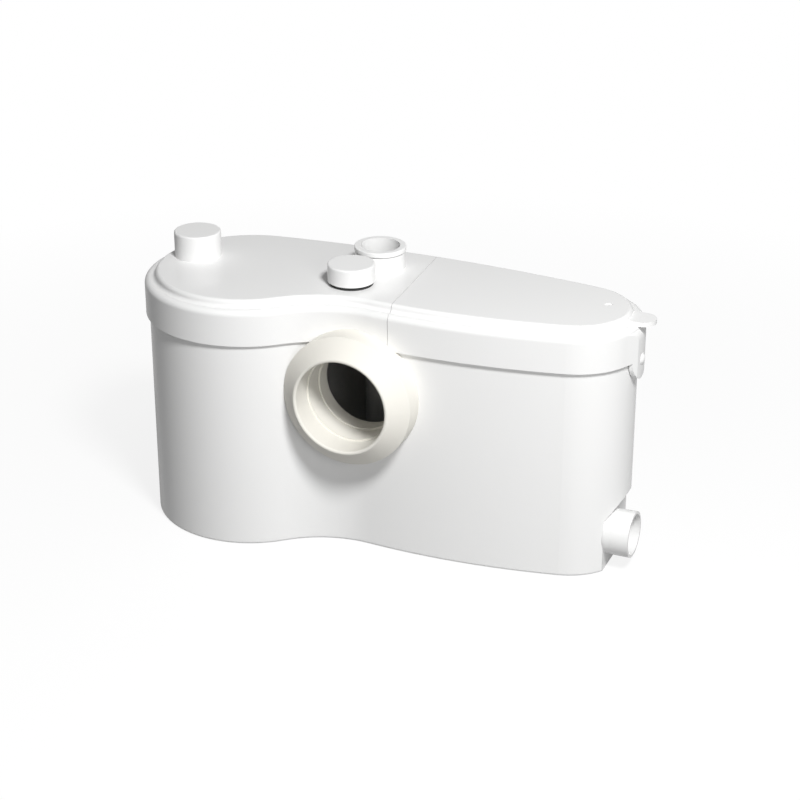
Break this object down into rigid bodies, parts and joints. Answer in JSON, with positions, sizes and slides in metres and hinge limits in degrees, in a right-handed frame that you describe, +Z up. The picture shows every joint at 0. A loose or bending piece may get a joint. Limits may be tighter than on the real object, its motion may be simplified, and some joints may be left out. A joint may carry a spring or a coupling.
{
  "type": "macerator toilet pump",
  "caption": "Floor-standing tank that grinds and pumps away toilet waste, with a rubber pan inlet in its waist, a low side inlet, and a plug, a vent and a discharge socket on its lid.",
  "frame": {"origin": "On the floor under the tank, below the axis of the pan inlet and on the long axis of the tank's right half.", "axes": "+X runs along the tank towards the low side inlet, +Y runs from the toilet pan to the wall, +Z is up."},
  "size_m": [0.557, 0.2331, 0.3105],
  "materials": {
    "white_plastic": "satin white moulded plastic",
    "cap_plastic": "white moulded plastic",
    "ivory_rubber": "soft ivory rubber",
    "black_rubber": "black moulded rubber",
    "grey_plastic": "light grey moulded plastic",
    "black_plastic": "black moulded plastic",
    "carbon": "charcoal felt",
    "stainless": "bare stainless steel",
    "plated_steel": "zinc plated steel",
    "aluminium": "die cast aluminium",
    "core_steel": "varnished core laminations",
    "copper": "enamelled copper wire",
    "can_paint": "grey painted steel"
  },
  "bodies": {
    "base": {"tank": "white_plastic", "main_cover": "white_plastic", "main_gasket": "black_rubber", "inlet_sleeve": "ivory_rubber", "vent_seal": "black_rubber", "carbon_filter": "carbon", "discharge_sleeve": "cap_plastic", "check_valve_body": "grey_plastic", "check_flap_pin": "plated_steel", "riser_pipe": "grey_plastic", "hose_coupling": "black_rubber", "pump_pads": "black_rubber", "pump_volute": "grey_plastic", "cutter_basket": "stainless", "motor_plate": "aluminium", "shaft_seal": "black_rubber", "lower_bearing": "plated_steel", "stator_core": "core_steel", "stator_windings": "copper", "motor_can": "can_paint", "upper_bearing": "plated_steel", "motor_cap": "aluminium", "motor_screws": "plated_steel", "capacitor": "cap_plastic", "terminal_block": "cap_plastic", "air_tube": "grey_plastic", "pressure_switch": "grey_plastic", "switch_diaphragm": "black_rubber", "microswitch": "black_plastic", "side_inlet_pipe": "white_plastic", "side_flap_pin": "plated_steel", "cable_gland": "cap_plastic"},
    "service_lid": {"service_cover": "white_plastic", "service_gasket": "black_rubber", "clamp_screw": "cap_plastic", "clamp_nut": "plated_steel"},
    "plug": {"top_plug": "cap_plastic"},
    "vent": {"vent_cap": "cap_plastic"},
    "rotor": {"motor_shaft": "stainless", "rotor_core": "core_steel", "grinder_blade": "stainless", "impeller": "grey_plastic", "impeller_nut": "plated_steel"},
    "check_valve_flap": {"check_flap": "black_rubber"},
    "side_valve_flap": {"side_flap": "black_rubber"},
    "plunger": {"switch_plunger": "cap_plastic"}
  },
  "joints": [
    {"name": "service_lid_lift", "type": "slide", "parent": "base", "child": "service_lid", "axis": [0, 0, 1], "range_m": [0, 0.08]},
    {"name": "plug_lift", "type": "slide", "parent": "base", "child": "plug", "axis": [0, 0, 1], "range_m": [0, 0.04]},
    {"name": "vent_lift", "type": "slide", "parent": "base", "child": "vent", "axis": [0, 0, 1], "range_m": [0, 0.035]},
    {"name": "rotor_spin", "type": "hinge", "parent": "base", "child": "rotor", "pos_m": [0.122, 0, 0.15], "axis": [0, 0, 1], "continuous": true},
    {"name": "check_flap_swing", "type": "hinge", "parent": "base", "child": "check_valve_flap", "pos_m": [-0.0355, 0.026, 0.2104], "axis": [0, -1, 0], "range_deg": [0, 50]},
    {"name": "side_flap_swing", "type": "hinge", "parent": "base", "child": "side_valve_flap", "pos_m": [0.2515, -0.019, 0.07], "axis": [0, 1, 0], "range_deg": [0, 60]},
    {"name": "plunger_slide", "type": "slide", "parent": "base", "child": "plunger", "axis": [0, 0, 1], "range_m": [0, 0.003]}
  ]
}
